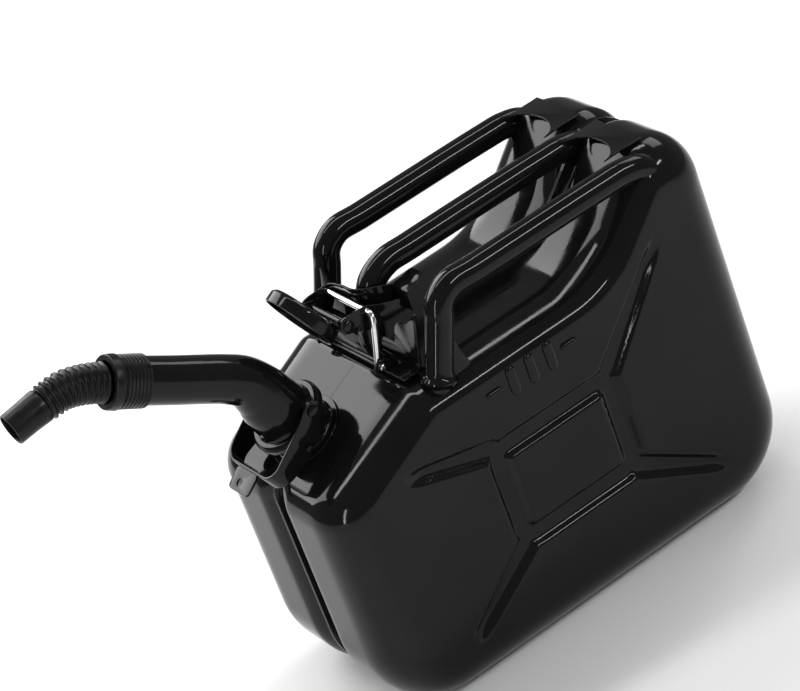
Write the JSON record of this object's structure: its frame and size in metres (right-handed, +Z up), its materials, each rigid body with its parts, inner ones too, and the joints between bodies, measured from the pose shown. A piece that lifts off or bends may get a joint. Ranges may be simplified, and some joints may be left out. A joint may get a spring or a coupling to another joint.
{
  "type": "jerry can",
  "caption": "Black pressed steel fuel can with pipe handles, a swung-back cam cap on a wire bail, and an elbow spout with a bending ribbed hose clamped on the neck.",
  "frame": {"origin": "on the ground under the middle of the bounding box of the can with its spout attached", "axes": "+Z up, the neck and spout point towards -X, the can stands on its two base pads, Y runs across the narrow width"},
  "size_m": [0.4872, 0.165, 0.3329],
  "materials": {
    "black_paint": "gloss black enamel",
    "zinc": "bright zinc plate",
    "rubber": "matt black seal",
    "grey_seal": "light grey seal",
    "black_plastic": "satin black"
  },
  "bodies": {
    "can": {"near_shell": "black_paint", "far_shell": "black_paint", "handle_bar_near": "black_paint", "handle_bar_centre": "black_paint", "handle_bar_far": "black_paint", "handle_front_plate": "black_paint", "handle_rear_plate_near": "black_paint", "handle_rear_plate_far": "black_paint", "neck_tube": "black_paint", "neck_stud_near": "black_paint", "neck_stud_far": "black_paint", "vent_tube": "zinc", "hinge_bracket": "black_paint"},
    "bail": {"bail_wire": "zinc"},
    "lever": {"cam_lever": "black_paint", "cap_pin": "zinc"},
    "cap": {"cap_bracket": "black_paint", "cap_shell": "black_paint", "cap_gasket": "rubber"},
    "spout": {"spout_flange": "black_paint", "spout_gasket": "grey_seal", "spout_elbow": "black_paint", "spout_collar": "black_plastic", "spout_hose": "black_plastic", "clamp_rivet_near": "zinc", "clamp_rivet_far": "zinc"},
    "clamp": {"clamp_yoke": "black_paint"},
    "nozzle": {"spout_nozzle": "black_plastic"}
  },
  "joints": [
    {"name": "bail_hinge", "type": "hinge", "parent": "can", "child": "bail", "pos_m": [-0.00995, 0, 0.2295], "axis": [0, -1, 0], "range_deg": [0, 10]},
    {"name": "lever_hinge", "type": "hinge", "parent": "bail", "child": "lever", "pos_m": [-0.00095, 0, 0.264], "axis": [0, -1, 0], "range_deg": [-8, 10]},
    {"name": "cap_hinge", "type": "hinge", "parent": "lever", "child": "cap", "pos_m": [-0.01649, 0, 0.2617], "axis": [0, -1, 0], "range_deg": [-30, 15]},
    {"name": "spout_lift", "type": "slide", "parent": "can", "child": "spout", "axis": [-0.4292, 0, 0.9032], "range_m": [0, 0.02]},
    {"name": "clamp_hinge", "type": "hinge", "parent": "spout", "child": "clamp", "pos_m": [-0.06305, 0, 0.22614], "axis": [0, 1, 0], "range_deg": [0, 45]},
    {"name": "nozzle_bend", "type": "hinge", "parent": "spout", "child": "nozzle", "pos_m": [-0.19695, 0, 0.3195], "axis": [0, 1, 0], "range_deg": [-20, 20], "deforming": ["spout_hose"]}
  ]
}
